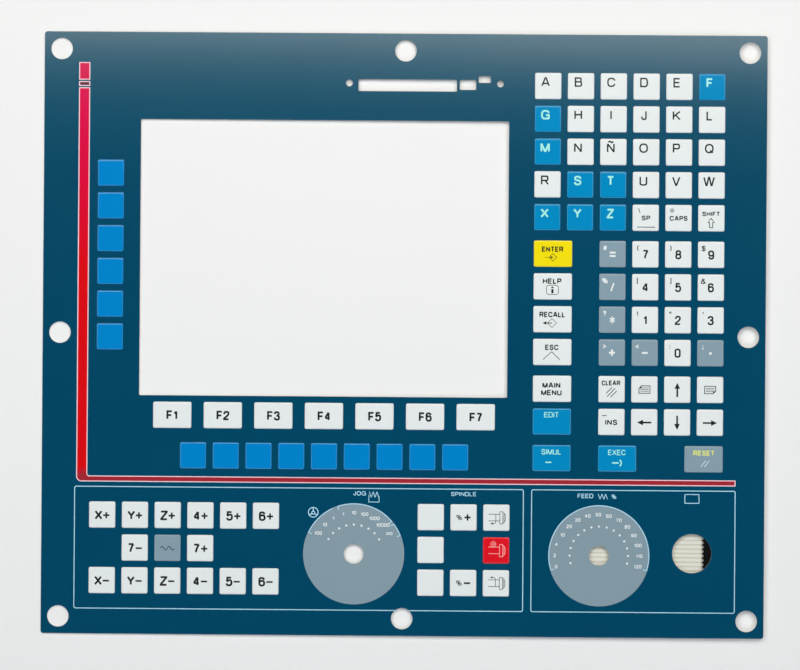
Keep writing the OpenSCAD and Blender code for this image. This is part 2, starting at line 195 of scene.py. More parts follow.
# Coated paper: cream, cloudy from its fibres, with the low even sheen of the silicone.
FIBRE = 0.9
CLOUD = 14
paper, tree, place = blank("silicone_coated_paper")
fibres = add(tree, "ShaderNodeTexNoise", {"Scale": 1 / (FIBRE * MM), "Detail": 5.0}, {"Vector": place})
cloud = add(tree, "ShaderNodeTexNoise", {"Scale": 1 / (CLOUD * MM), "Detail": 3.0}, {"Vector": place})
pulp = add(
    tree,
    "ShaderNodeMix",
    {6: linear("#E4DDCA"), 7: linear("#EFEADC")},
    {0: cloud.outputs[0]},
    data_type="RGBA",
)
flecks = add(tree, "ShaderNodeMapRange", {"From Min": 0.6, "To Max": 0.4}, {"Value": fibres.outputs[0]})
flecked = add(
    tree,
    "ShaderNodeMix",
    {7: linear("#CFC5AC")},
    {0: flecks.outputs[0], 6: pulp.outputs[2]},
    data_type="RGBA",
)
tooth = add(
    tree,
    "ShaderNodeBump",
    {"Strength": 0.25, "Distance": 0.01 * MM},
    {"Height": fibres.outputs[0]},
)
shader = add(
    tree,
    "ShaderNodeBsdfPrincipled",
    {"Roughness": 0.5, "IOR": 1.43},
    {"Base Color": flecked.outputs[2], "Normal": tooth.outputs[0]},
)
add(tree, "ShaderNodeOutputMaterial", links={"Surface": shader.outputs[0]})
dress("release_liner", paper)

# Adhesive sheets and spacer
# Acrylic adhesive on a thin film carrier: one sheet on the back, one under the face film and a
# thicker one between the contact films, all die cut and laminated in place.

# Acrylic adhesive: clear and wet looking, a little milky where it is cut.
ADHESIVE_RIPPLE = 1.5
acrylic, tree, place = blank("die_cut_acrylic_adhesive")
ripple = add(
    tree,
    "ShaderNodeTexNoise",
    {"Scale": 1 / (ADHESIVE_RIPPLE * MM), "Detail": 2.0},
    {"Vector": place},
)
milk = add(
    tree,
    "ShaderNodeMix",
    {6: linear("#CFCEC3"), 7: linear("#DEDDD3")},
    {0: ripple.outputs[0]},
    data_type="RGBA",
)
wet = add(
    tree,
    "ShaderNodeBump",
    {"Strength": 0.2, "Distance": 0.01 * MM},
    {"Height": ripple.outputs[0]},
)
shader = add(
    tree,
    "ShaderNodeBsdfPrincipled",
    {"Roughness": 0.22, "IOR": 1.48},
    {"Base Color": milk.outputs[2], "Normal": wet.outputs[0]},
)
add(tree, "ShaderNodeOutputMaterial", links={"Surface": shader.outputs[0]})
for node in ("rear_adhesive", "circuit_spacer", "overlay_adhesive"):
    dress(node, acrylic)

# Contact films and tail
# Two polyester films with printed contacts. The tail is cut out of the lower one, bent down through
# the slit and led along the back to the plug.

# Heat-stabilised polyester: pale tan and slightly cloudy, with a fairly sharp gloss.
FILM_HAZE = 9
polyester, tree, place = blank("heat_stabilised_polyester")
haze = add(tree, "ShaderNodeTexNoise", {"Scale": 1 / (FILM_HAZE * MM), "Detail": 3.0}, {"Vector": place})
tan = add(
    tree,
    "ShaderNodeMix",
    {6: linear("#C4C1AE"), 7: linear("#CCC9B6")},
    {0: haze.outputs[0]},
    data_type="RGBA",
)
wave = add(tree, "ShaderNodeBump", {"Strength": 0.1, "Distance": 0.05 * MM}, {"Height": haze.outputs[0]})
shader = add(
    tree,
    "ShaderNodeBsdfPrincipled",
    {"Roughness": 0.3, "IOR": 1.6},
    {"Base Color": tan.outputs[2], "Normal": wave.outputs[0]},
)
add(tree, "ShaderNodeOutputMaterial", links={"Surface": shader.outputs[0]})
for node in ("lower_circuit", "upper_circuit"):
    dress(node, polyester)

# Tail tracks and contact pads
# Silver ink, screen printed on the films and cured: broad tracks along the tail under a pale varnish,
# and round pads under the keys.

# Varnished tracks: pale cream with a soft shine, speckled by the mesh of the screen, 0.35 mm apart.
SCREEN_MESH = 0.35
varnish, tree, place = blank("varnished_track_print")
mesh_marks = add(tree, "ShaderNodeTexVoronoi", {"Scale": 1 / (SCREEN_MESH * MM)}, {"Vector": place})
cream = add(
    tree,
    "ShaderNodeMix",
    {6: linear("#E3E2DA"), 7: linear("#DBDACF")},
    {0: mesh_marks.outputs[0]},
    data_type="RGBA",
)
shader = add(
    tree,
    "ShaderNodeBsdfPrincipled",
    {"Roughness": 0.38, "IOR": 1.5},
    {"Base Color": cream.outputs[2]},
)
add(tree, "ShaderNodeOutputMaterial", links={"Surface": shader.outputs[0]})
dress("tail_tracks", varnish)

# Bare silver ink: dull pale metal, grained by the same screen.
silver, tree, place = blank("screen_printed_silver")
mesh_marks = add(tree, "ShaderNodeTexVoronoi", {"Scale": 1 / (SCREEN_MESH * MM)}, {"Vector": place})
flake = add(
    tree,
    "ShaderNodeMix",
    {6: linear("#BDBDB8"), 7: linear("#A9A9A4")},
    {0: mesh_marks.outputs[0]},
    data_type="RGBA",
)
shader = add(
    tree,
    "ShaderNodeBsdfPrincipled",
    {"Metallic": 0.8, "Roughness": 0.5},
    {"Base Color": flake.outputs[2]},
)
add(tree, "ShaderNodeOutputMaterial", links={"Surface": shader.outputs[0]})
for node in ("upper_contacts", "lower_contacts"):
    dress(node, silver)

# Face film
# One sheet of satin polyester, printed from behind in deep blue, with every key pressed up out of it
# in a heated tool. It is cut out for the display, the card slot, the shafts, the button and the fixings.
film_low, film_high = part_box("graphic_overlay")
FILM_T = 0.25
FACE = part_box("dial_print")[0].z / MM
PANEL = ((film_high.x - film_low.x) / MM, (film_high.y - film_low.y) / MM)
PANEL_R = 1.5
KEY = 15.2
WIDE_KEY = 22.2
PITCH = 19.05
FUNCTION_PITCH = 29.4
KEY_R = 1.0
CORNER_STEPS = 5

# every block of keys: its first key's place, its spacing across, its key width and the colours of its
# rows, w white, b blue, g grey, y yellow, r red, with a point where there is no key
BLOCKS = {
    "letters": (82.8, 145.1, PITCH, KEY, ("wwwwwb", "bwwwww", "bwwwww", "wbbwww", "bbbwww")),
    "numbers": (120.9, 47.7, PITCH, KEY, ("gwww", "gwww", "gwww", "ggwg")),
    "cursor": (120.9, -30.75, PITCH, KEY, ("wwww", "wwww")),
    "modes": (86.3, 47.7, PITCH, WIDE_KEY, ("y", "w", "w", "w")),
    "menu": (86.3, -30.75, PITCH, WIDE_KEY, ("w", "b")),
    "simulate": (86.3, -71.05, PITCH, WIDE_KEY, ("b",)),
    "execute": (124.4, -71.05, PITCH, WIDE_KEY, ("b",)),
    "reset": (174.55, -71.05, PITCH, WIDE_KEY, ("g",)),
    "function": (-134.3, -47.6, FUNCTION_PITCH, WIDE_KEY, ("wwwwwww",)),
    "soft": (-122.05, -71.05, PITCH, KEY, ("bbbbbbbbb",)),
    "side": (-170.95, 92.95, PITCH, KEY, ("b", "b", "b", "b", "b", "b")),
    "jog": (-174.6, -105.9, PITCH, KEY, ("wwwwww", ".wgw..", "wwwwww")),
    "spindle": (16.45, -105.9, PITCH, KEY, ("www", "w.r", "www")),
}
KEYS = [
    (x + column * spacing, y - row * PITCH, width, colour)
    for x, y, spacing, width, rows in BLOCKS.values()
    for row, colours in enumerate(rows)
    for column, colour in enumerate(colours)
    if colour != "."
]
JOG_DIAL = (-28.2, -127.55)
FEED_DIAL = (114.2, -127.55)
STOP = (168.1, -125.85)
STOP_D = 22.8
SHAFT_D = 11.6

# openings for the display, the card, its eject button and its lamp: middle, width and height
OPENINGS = (
    (-46.7, 44.05, 214.0, 160.6),
    (1.2, 144.9, 57.2, 6.9),
    (36.2, 145.4, 9.6, 5.8),
    (45.9, 148.6, 7.0, 3.9),
)
OPENING_R = 0.6
CARD_SCREWS = ((-32.7, 146.1), (55.1, 146.1))
CARD_SCREW_D = 4.0
FIXING_X, FIXING_Y = 200, 165
FIXING_D = 12.5


def arc(x, y, r, start, end, steps):
    """Points along an arc, from one angle in degrees to another."""
    turns = [math.radians(start + (end - start) * k / steps) for k in range(steps + 1)]
    return [(x + r * math.cos(t), y + r * math.sin(t)) for t in turns]


def rounded(x, y, w, h, r, steps):
    """Points round a rectangle with rounded corners, anticlockwise."""
    points = []
    for side, rise, start in ((1, 1, 0), (-1, 1, 90), (-1, -1, 180), (1, -1, 270)):
        points += arc(x + side * (w / 2 - r), y + rise * (h / 2 - r), r, start, start + 90, steps)
    return points


def circle(x, y, d, steps=64):
    """Points round a circle."""
    return arc(x, y, d / 2, 0, 360, steps)[:-1]


def ring(shape, points, z):
    """A row of points at one height."""
    return [shape.verts.new((px * MM, py * MM, z * MM)) for px, py in points]


def join(shape, low, high):
    """A band of faces between two rings of as many points."""
    for i in range(len(low)):
        shape.faces.new((low[i - 1], low[i], high[i], high[i - 1]))


# a key rises through a small foot radius and a shoulder radius: how far in, and how high
KEY_PROFILE = (
    (-0.12, 0.0), (-0.04, 0.008), (0.03, 0.05), (0.1, 0.13), (0.17, 0.205), (0.25, 0.262),
    (0.36, 0.308), (0.52, 0.345), (0.72, 0.372), (0.95, 0.39), (1.25, 0.4),
)
outlines = [rounded(0, 0, *PANEL, PANEL_R, 6)]
outlines += [rounded(*opening, OPENING_R, 4) for opening in OPENINGS]
outlines += [circle(*screw, CARD_SCREW_D, 32) for screw in CARD_SCREWS]
outlines += [circle(*JOG_DIAL, SHAFT_D), circle(*FEED_DIAL, SHAFT_D), circle(*STOP, STOP_D, 96)]
for i in (-1, 0, 1):
    for j in (-1, 0, 1):
        if i or j:
            outlines.append(circle(FIXING_X * i, FIXING_Y * j, FIXING_D))

film = bmesh.new()
rims = [ring(film, points, FACE) for points in outlines]
for x, y, width, colour in KEYS:
    rows = [
        ring(film, rounded(x, y, width - 2 * step, KEY - 2 * step, KEY_R, CORNER_STEPS), FACE + rise)
        for step, rise in KEY_PROFILE
    ]
    for low, high in zip(rows, rows[1:]):
        join(film, low, high)
    film.faces.new(rows[-1])
    rims.append(rows[0])
edges = []
for rim in rims:
    for i in range(len(rim)):
        ends = (rim[i - 1], rim[i])
        edges.append(film.edges.get(ends) or film.edges.new(ends))
bmesh.ops.triangle_fill(film, use_beauty=True, edges=edges, normal=(0, 0, 1))


def thicken(shape, thickness):
    """Gives a layer of faces its thickness downwards, with square cut edges."""
    made = bmesh.ops.extrude_face_region(shape, geom=shape.faces[:])
    lowered = [v for v in made["geom"] if isinstance(v, bmesh.types.BMVert)]
    bmesh.ops.translate(shape, verts=lowered, vec=(0, 0, -thickness * MM))


# faces that lean between these two are shaded round, and level and upright ones flat
UPRIGHT, LEVEL = 0.05, 0.9999


def piece(shape, name, material):
    """Turns a shape into an object that belongs to the keypad, shaded round over its shoulders only."""
    bmesh.ops.recalc_face_normals(shape, faces=shape.faces[:])
    for face in shape.faces:
        face.smooth = UPRIGHT < abs(face.normal.z) < LEVEL
    mesh = bpy.data.meshes.new(name)
    shape.to_mesh(mesh)
    shape.free()
    mesh.materials.append(material)
    made = bpy.data.objects.new(name, mesh)
    bpy.context.scene.collection.objects.link(made)
    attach(made, "root")
    return made


# Ink behind satin polyester: an even field of colour under one soft sheen, which is the same all over
# the face. The lacquer's grain is drawn 0.5 mm apart, some five times too coarse, so that it shows.
LACQUER_GRAIN = 0.5
INK_PATCH = 45
SHEET_WAVE = 70


def printed_film(name, code, shade, fades=(), textured=False):
    """Screen ink under satin polyester, in one colour and a shade that it drifts to in patches.

    Each fade names another colour, the way across the sheet, and the two places between which it takes
    over. Textured film has lost its sheen wherever it lies flat."""
    made, tree, place = blank(name)
    patches = add(
        tree,
        "ShaderNodeTexNoise",
        {"Scale": 1 / (INK_PATCH * MM), "Detail": 3.0},
        {"Vector": place},
    )
    ink = add(
        tree,
        "ShaderNodeMix",
        {6: linear(code), 7: linear(shade)},
        {0: patches.outputs[0]},
        data_type="RGBA",
    )
    colour = ink.outputs[2]
    for other, way, start, end in fades:
        along = add(tree, "ShaderNodeSeparateXYZ", links={"Vector": place}).outputs[way]
        stretch = {"From Min": start * MM, "From Max": end * MM}
        share = add(tree, "ShaderNodeMapRange", stretch, {"Value": along})
        mixed = {0: share.outputs[0], 6: colour}
        colour = add(tree, "ShaderNodeMix", {7: linear(other)}, mixed, data_type="RGBA").outputs[2]
    waves = add(
        tree,
        "ShaderNodeTexNoise",
        {"Scale": 1 / (SHEET_WAVE * MM), "Detail": 1.0},
        {"Vector": place},
    )
    lie = add(
        tree,
        "ShaderNodeBump",
        {"Strength": 0.2, "Distance": 0.2 * MM},
        {"Height": waves.outputs[0]},
    )
    grain = add(
        tree,
        "ShaderNodeTexNoise",
        {"Scale": 1 / (LACQUER_GRAIN * MM), "Detail": 2.0},
        {"Vector": place},
    )
    lacquer = add(
        tree,
        "ShaderNodeBump",
        {"Strength": 0.12, "Distance": 0.01 * MM},
        {"Height": grain.outputs[0], "Normal": lie.outputs[0]},
    )
    wires = {"Base Color": colour, "Normal": lacquer.outputs[0]}
    if textured:
        facing = add(tree, "ShaderNodeNewGeometry").outputs["Normal"]
        level = add(tree, "ShaderNodeSeparateXYZ", links={"Vector": facing}).outputs["Z"]
        sheen_range = {"From Min": 0.97, "From Max": 1.0, "To Min": 0.5, "To Max": 0.08}
        sheen = add(tree, "ShaderNodeMapRange", sheen_range, {"Value": level})
        wires["Specular IOR Level"] = sheen.outputs[0]
    shader = add(tree, "ShaderNodeBsdfPrincipled", {"Roughness": 0.12, "IOR": 1.57}, wires)
    add(tree, "ShaderNodeOutputMaterial", links={"Surface": shader.outputs[0]})
    return made


thicken(film, FILM_T)
# the blue is painted a little greener towards the top of the sheet: a painted sheen that stands for the
# greenish veil the top lamp's reflection lays there
PAINTED_SHEEN_FADES = [("#00536D", "Y", 95, 172)]
blue_and_painted_sheen = printed_film("deep_blue_print_painted_sheen_satin_polyester", "#004967", "#004564", PAINTED_SHEEN_FADES)
face_film = piece(film, "face_film", blue_and_painted_sheen)
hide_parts("graphic_overlay")

# Key colours
# Opaque screen ink on the raised keys, one pass for each colour. It covers a key's top and its sides
# down to the foot, so that no blue shows at its edge.
INK_T = 0.012


def key_ink(colour):
    """The skin of ink over every key of one colour."""
    skin = bmesh.new()
    for x, y, width, own in KEYS:
        if own != colour:
            continue
        feet = []
        for depth in (INK_T, 0.0):
            rows = []
            for i, (step, rise) in enumerate(KEY_PROFILE[1:]):
                w, h = width - 2 * step + 2 * depth, KEY - 2 * step + 2 * depth
                height = FACE + rise + (depth if i else 0)
                rows.append(ring(skin, rounded(x, y, w, h, KEY_R, CORNER_STEPS), height))
            for low, high in zip(rows, rows[1:]):
                join(skin, low, high)
            skin.faces.new(rows[-1])
            feet.append(rows[0])
        join(skin, *feet)
    return skin


KEY_COLOURS = {
    "white": ("w", "#E6ECEE", "#E3E9EB", ()),
    # the blue keys on the right came out a little greener
    "blue": ("b", "#0385CE", "#0380C8", [("#0689C2", "X", 55, 75)]),
    "grey": ("g", "#88A0AE", "#849CAA", ()),
    "yellow": ("y", "#F3E016", "#EFDB11", ()),
    "red": ("r", "#E31A29", "#DC1726", ()),
}
inks = {}
for colour, (code, tone, shade, fades) in KEY_COLOURS.items():
    inks[colour] = printed_film(colour + "_print_textured_polyester", tone, shade, fades, textured=True)
    caps = piece(key_ink(code), colour + "_key_ink", inks[colour])
    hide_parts(colour + "_key_print")

# Printed fields
# The grey faces of the two dials, the red band down the left and across the sheet, and the white
# lines round the band and the two frames, all flat ink under the same satin film.

# from the top down: crimson, dull in the small tab, warmer on the way down, and dull again in the narrow
# rail, because the red lies thinner where it is narrow and the blue under it shows
BAND_FADES = [
    ("#64203C", "Y", 146.4, 146.2),
    ("#DA0050", "Y", 143.1, 142.9),
    ("#DB0A14", "Y", 140, 40),
    ("#A32A37", "Y", -78, -83),
]
red_band = printed_film("red_band_print_satin_polyester", "#DA0050", "#D3004C", BAND_FADES)
# a fine white line takes a trace of the ink beside it, red along the band and blue round the frames
LINE_FADES = [("#B4E4FA", "Y", -87, -89)]
white_line = printed_film("white_line_print_satin_polyester", "#F7D6E1", "#F3D2DD", LINE_FADES)
dial_grey = printed_film("dial_grey_print_satin_polyester", "#8AA1AE", "#859CA9")
dress("dial_print", dial_grey)
dress("red_band_print", red_band)
dress("white_line_print", white_line)

# Legends
# The letters, digits, words and signs, printed behind the same film: black on white and yellow keys,
# white on the face and on grey and red keys, yellow on blue keys. Each ink is one flat layer.
LEGEND_T = 0.008
KEY_LEVEL = cad_high.z / MM
FACE_LEVEL = FACE + LEGEND_T
DIAL_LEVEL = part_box("dial_print")[1].z / MM + LEGEND_T

# plain upright lettering of even strokes: for every sign its width against its height, and its strokes in
# a box of one by one; a stroke after ~ is a smooth curve that its points pull on, one after o is closed
SIGNS = {
    "A": (0.98, "0,0 .44,1 .56,1 1,0", ".17,.3 .83,.3"),
    "B": (
        0.84, "0,0 0,1", "~-.12,1 .55,1 .94,1 .94,.53 .55,.53 0,.53",
        "~0,.53 .6,.53 1,.53 1,0 .6,0 -.12,0",
    ),
    "C": (0.94, "~1,.7 .95,1 0,1 0,0 .95,0 1,.3"),
    "D": (0.9, "0,0 0,1", "~-.12,1 .4,1 1,1 1,0 .4,0 -.12,0"),
    "E": (0.8, "1,1 0,1 0,0 1,0", "0,.52 .92,.52"),
    "F": (0.74, "1,1 0,1 0,0", "0,.5 .88,.5"),
    "G": (0.98, "~1,.72 .93,1 0,1 0,0 .7,0 1,0 1,.22 1,.45 1,.45 .58,.45"),
    "H": (0.88, "0,0 0,1", "1,0 1,1", "0,.52 1,.52"),
    "I": (0, ".5,0 .5,1"),
    "J": (0.64, "~1,1 1,.3 1,0 0,0 0,.34"),
    "K": (0.9, "0,0 0,1", "1,1 0,.36", ".3,.58 1,0"),
    "L": (0.7, "0,1 0,0 1,0"),
    "M": (1.04, "0,0 0,1", "1,0 1,1", "0,1 .46,.04 .54,.04 1,1"),
    "N": (0.88, "0,0 0,1", "1,0 1,1", "0,1 1,0"),
    "Ñ": (0.88, "0,0 0,1", "1,0 1,1", "0,1 1,0", "~.12,1.18 .3,1.42 .7,1.08 .88,1.32"),
    "O": (1.0, "~o 0,0 1,0 1,1 0,1"),
    "P": (0.82, "0,0 0,1", "~-.12,1 .5,1 1,1 1,.46 .5,.46 0,.46"),
    "Q": (1.0, "~o 0,0 1,0 1,1 0,1", ".62,.26 1,-.02"),
    "R": (0.9, "0,0 0,1", "~-.12,1 .5,1 .96,1 .96,.48 .5,.48 0,.48", ".56,.46 1,0"),
    "S": (0.86, "~.95,.73 .95,1 .04,1 .04,.55 .98,.5 .98,0 .02,0 0,.28"),
    "T": (0.84, "0,1 1,1", ".5,0 .5,1"),
    "U": (0.88, "~0,1 0,.35 0,0 1,0 1,.35 1,1"),
    "V": (0.94, "0,1 .45,0 .55,0 1,1"),
    "W": (1.32, "0,1 .22,0 .28,0 .47,1 .53,1 .72,0 .78,0 1,1"),
    "X": (0.94, "0,0 1,1", "0,1 1,0"),
    "Y": (0.94, "0,1 .5,.45 1,1", ".5,.5 .5,0"),
    "Z": (0.84, "0,1 .96,1 .96,.94 .04,.06 .04,0 1,0"),
    "0": (0.7, "~o 0,0 1,0 1,.5 1,1 0,1 0,.5"),
    "1": (0.42, "1,0 1,1", "~0,.74 .7,.78 1,1"),
    "2": (0.7, "~.02,.68 .02,1 .98,1 .98,.55 0,.14 0,0 0,0 1,0"),
    "3": (0.7, "~0,.75 .05,1 .92,1 .92,.54 .4,.54", "~.4,.54 1,.54 1,0 0,0 0,.28"),
    "4": (0.74, ".74,0 .74,1", ".7,1 .02,.3", "0,.26 1,.26"),
    "5": (0.7, ".92,1 .16,1 .06,.5", "~.06,.46 .3,.68 1,.68 1,0 0,0 0,.26"),
    "6": (0.7, "~o 0,0 1,0 1,.62 0,.62", "~0,.32 0,.5 0,1 .9,1 .95,.76"),
    "7": (0.7, "0,1 1,1", "~.97,.98 .5,.55 .36,0"),
    "8": (0.7, "~o .06,.54 .94,.54 .94,1 .06,1", "~o 0,0 1,0 1,.54 0,.54"),
    "9": (0.7, "~o 0,.38 1,.38 1,1 0,1", "~1,.68 1,.5 1,0 .1,0 .05,.24"),
    "#": (0.8, ".18,0 .4,1", ".6,0 .82,1", "0,.33 .95,.33", ".05,.67 1,.67"),
    "=": (0.75, "0,.7 1,.7", "0,.3 1,.3"),
    "(": (0.32, "~1,1.1 0,.85 0,.15 1,-.1"),
    ")": (0.32, "~0,1.1 1,.85 1,.15 0,-.1"),
    "$": (0.8, "~.95,.73 .95,1 .04,1 .04,.55 .98,.5 .98,0 .02,0 0,.28", ".5,-.14 .5,1.14"),
    "%": (1.1, ".28,0 .72,1", "~o 0,.52 .4,.52 .4,1 0,1", "~o .6,0 1,0 1,.48 .6,.48"),
    "/": (0.45, "0,0 1,1"),
    "\\": (0.45, "0,1 1,0"),
    "[": (0.34, "1,1.05 0,1.05 0,-.05 1,-.05"),
    "]": (0.34, "0,1.05 1,1.05 1,-.05 0,-.05"),
    "&": (0.95, "~1,0 .2,.75 .2,1 .7,1 .7,.72 0,.5 0,0 .75,0 .92,.42"),
    "?": (0.62, "~0,.72 0,1 1,1 1,.62 .5,.5 .5,.28", ".5,0 .5,.14"),
    "*": (0.86, ".5,0 .5,1", ".07,.25 .93,.75", ".07,.75 .93,.25"),
    "!": (0, ".5,.3 .5,1", ".5,0 .5,.14"),
    '"': (0.4, "0,.6 0,1", "1,.6 1,1"),
    "'": (0, ".5,.6 .5,1"),
    ">": (0.7, "0,.85 1,.5 0,.15"),
    "<": (0.7, "1,.85 0,.5 1,.15"),
    "+": (0.8, "0,.5 1,.5", ".5,.1 .5,.9"),
    "-": (0.8, "0,.5 1,.5"),
    ":": (0, ".5,.1 .5,.28", ".5,.62 .5,.8"),
    ";": (0, ".5,-.1 .5,.28", ".5,.62 .5,.8"),
    ".": (0, ".5,.3 .5,.7"),
    "∞": (1.7, "~o .5,.5 .7,.9 1,.9 1,.1 .7,.1 .5,.5 .3,.9 0,.9 0,.1 .3,.1"),
}
SIGN_GAP = 0.13
CURVE_STEPS = 4
MITRE_LIMIT = 0.3
black_legend, white_legend, face_legend = {}, {}, {}
yellow_legend, pale_legend, pink_legend = {}, {}, {}


def patch(ink, points, level):
    """A flat field of ink inside an outline."""
    ink.setdefault(level, []).append([tuple(p) for p in points])


def stroke(ink, points, width, level, closed=False):
    """A line of even width through points, with mitred corners."""
    line = np.array(points, float)
    before, after = np.roll(line, 1, 0), np.roll(line, -1, 0)
    if not closed:
        before[0], after[-1] = line[0], line[-1]
    sides = []
    for start, here, end in zip(before, line, after):
        ways = [way / np.hypot(*way) for way in (here - start, end - here) if np.hypot(*way) > 0]
        mitre = sum(np.array((-way[1], way[0])) for way in ways) / len(ways)
        sides.append(mitre / max(mitre @ mitre, MITRE_LIMIT) * width / 2)
    left, right = line + sides, line - sides
    for i in range(0 if closed else 1, len(line)):
        corners = np.array((right[i - 1], right[i], left[i], left[i - 1]))
        x, y = (corners - corners.mean(0)).T
        patch(ink, corners[np.argsort(np.arctan2(y, x))], level)


def smooth(points, closed):
    """The curve that points pull on, in short straight steps."""
    if closed:
        ends = [(points[i - 1] + points[i]) / 2 for i in range(len(points))]
        spans = zip(ends, points, ends[1:] + ends[:1])
    else:
        ends = [points[0]] + [(a + b) / 2 for a, b in zip(points[1:-2], points[2:-1])] + [points[-1]]
        spans = zip(ends, points[1:-1], ends[1:])
    steps = [
        start * (1 - t) ** 2 + pull * 2 * t * (1 - t) + end * t * t
        for start, pull, end in spans
        for t in np.arange(CURVE_STEPS) / CURVE_STEPS
    ]
    if not closed:
        steps.append(points[-1])
    moved = [True] + [np.hypot(*(b - a)) > 1e-6 for a, b in zip(steps, steps[1:])]
    return np.array(steps)[moved]


def words(ink, text, x, y, cap, level, weight, width=None):
    """Lettering with its middle at x and y and its capitals cap high, drawn to a width if given."""
    spans = [max(SIGNS[sign][0], weight) for sign in text]
    natural = (sum(spans) + SIGN_GAP * (len(text) - 1)) * cap
    stretch = width / natural if width else 1
    left = x - natural * stretch / 2
    for sign, span in zip(text, spans):
        for path in SIGNS[sign][1:]:
            closed = "o" in path
            pairs = [pair.split(",") for pair in path.strip("~o ").split()]
            points = np.array(pairs, float)
            points = points * (span - weight, 1 - weight) + weight / 2
            if path.startswith("~"):
                points = smooth(points, closed)
            stroke(ink, points * (cap * stretch, cap) + (left, y - cap / 2), weight * cap, level, closed)
        left += (span + SIGN_GAP) * cap * stretch


def arrow(ink, x, y, turn, length, level, stem, head):
    """A solid arrow about its middle, turned from pointing right by so many degrees."""
    tip, neck, half = length / 2, length / 2 - head[0], stem / 2
    outline = [
        (-tip, -half), (neck, -half), (neck, -head[1] / 2), (tip, 0),
        (neck, head[1] / 2), (neck, half), (-tip, half),
    ]
    c, s = math.cos(math.radians(turn)), math.sin(math.radians(turn))
    patch(ink, [(x + px * c - py * s, y + px * s + py * c) for px, py in outline], level)


def key_at(block, row, column):
    """The middle of one key."""
    x, y, spacing = BLOCKS[block][:3]
    return x + column * spacing, y - row * PITCH


# weights of lettering against its height, and widths of thin lines
SLIM, PLAIN, FIRM, STRONG, BOLD = 0.15, 0.16, 0.19, 0.205, 0.22
THIN, FINE = 0.45, 0.35

# letters stand in the upper left of their keys
LETTER_CAP, LETTER_SPAN = 5.55, 5.05
LETTER_SHIFT = (-1.55, 2.35)
for row, letters in enumerate(("ABCDEF", "GHIJKL", "MNÑOPQ", "RSTUVW", "XYZ")):
    for column, letter in enumerate(letters):
        x, y = key_at("letters", row, column)
        ink = pale_legend if BLOCKS["letters"][4][row][column] == "b" else black_legend
        x, y = x + LETTER_SHIFT[0], y + LETTER_SHIFT[1]
        weight = FIRM if ink is pale_legend else PLAIN
        words(ink, letter, x, y, LETTER_CAP, KEY_LEVEL, weight, SIGNS[letter][0] * LETTER_SPAN)
x, y = key_at("letters", 4, 3)
words(black_legend, "SP", x + 0.1, y - 0.1, 2.8, KEY_LEVEL, BOLD, 5.0)
stroke(black_legend, [(x - 4.2, y + 5.4), (x - 3.4, y + 3.0)], THIN, KEY_LEVEL)
stroke(black_legend, [(x - 5.1, y - 5.4), (x + 5.5, y - 5.4)], THIN, KEY_LEVEL)
x, y = key_at("letters", 4, 4)
words(black_legend, "CAPS", x, y - 0.2, 2.9, KEY_LEVEL, BOLD, 10.4)
stroke(black_legend, circle(x - 3.8, y + 4.3, 2.2, 24), 0.25, KEY_LEVEL, True)
patch(black_legend, circle(x - 3.8, y + 4.3, 1.0, 16), KEY_LEVEL)
x, y = key_at("letters", 4, 5)
words(black_legend, "SHIFT", x - 0.2, y + 2.5, 2.6, KEY_LEVEL, BOLD, 10.3)
SHIFT_ARROW = (
    (-0.9, -5.4), (0.9, -5.4), (0.9, -2.5), (1.9, -2.5), (0, 0), (-1.9, -2.5), (-0.9, -2.5)
)
stroke(black_legend, [(x - 0.15 + px, y + py) for px, py in SHIFT_ARROW], THIN, KEY_LEVEL, True)

# digits and signs stand in the middle of their keys, with a second sign in the upper left
NUMBER_ROWS = (
    ("#=", "(7", ")8", "$9"),
    ("%/", "[4", "]5", "&6"),
    ("?*", "!1", '"2', "'3"),
    (">+", "<-", ":0", ";."),
)
SIGN_SIZE = {"=": 6.1, "*": 4.9, "+": 5.8, "-": 5.7, ".": 5.0, "/": 5.6}
SIGN_WEIGHT = {"=": 0.18, "+": 0.2, "-": 0.2, ".": 0.3, "*": 0.15, "/": 0.16}
DIGIT_CAP, DIGIT_SPAN, DIGIT_WEIGHT = 5.4, 5.0, 0.185
SECOND_CAP, SECOND_WEIGHT = 3.1, 0.17
SECOND_SHIFT = (-4.4, 3.6)
for row, pairs in enumerate(NUMBER_ROWS):
    for column, (second, first) in enumerate(pairs):
        x, y = key_at("numbers", row, column)
        ink = white_legend if BLOCKS["numbers"][4][row][column] == "g" else black_legend
        size, weight = SIGN_SIZE.get(first, DIGIT_CAP), SIGN_WEIGHT.get(first, DIGIT_WEIGHT)
        width = SIGNS[first][0] * DIGIT_SPAN if first.isdigit() else None
        words(ink, first, x, y - 0.1, size, KEY_LEVEL, weight, width)
        x, y = x + SECOND_SHIFT[0], y + SECOND_SHIFT[1]
        weight = BOLD if ink is white_legend else SECOND_WEIGHT
        words(ink, second, x, y, SECOND_CAP, KEY_LEVEL, weight)

# words of the wide keys and of two cursor keys, with their places from the middle of the key
LABELS = (
    (black_legend, "ENTER", "modes", 0, -0.25, 2.6, 3.15, 12.4),
    (black_legend, "HELP", "modes", 1, -0.4, 3.1, 3.2, 10.8),
    (black_legend, "RECALL", "modes", 2, -0.2, 2.75, 3.2, 14.8),
    (black_legend, "ESC", "modes", 3, -0.3, 2.75, 3.15, 7.7),
    (black_legend, "MAIN", "menu", 0, -0.4, 2.05, 3.25, 10.4),
    (black_legend, "MENU", "menu", 0, -0.4, -2.25, 3.25, 11.9),
    (black_legend, "CLEAR", "cursor", 0, -0.4, 3.6, 2.85, 10.7),
    (black_legend, "INS", "cursor", 1, -0.1, -0.2, 3.2, 7.1),
    (pale_legend, "EDIT", "menu", 1, -0.2, 3.95, 3.15, 8.5),
    (pale_legend, "SIMUL", "simulate", 0, -0.2, 3.7, 3.2, 11.4),
    (pale_legend, "EXEC", "execute", 0, -0.2, 3.6, 3.2, 10.2),
    (yellow_legend, "RESET", "reset", 0, 0.15, 3.6, 3.1, 12.3),
)
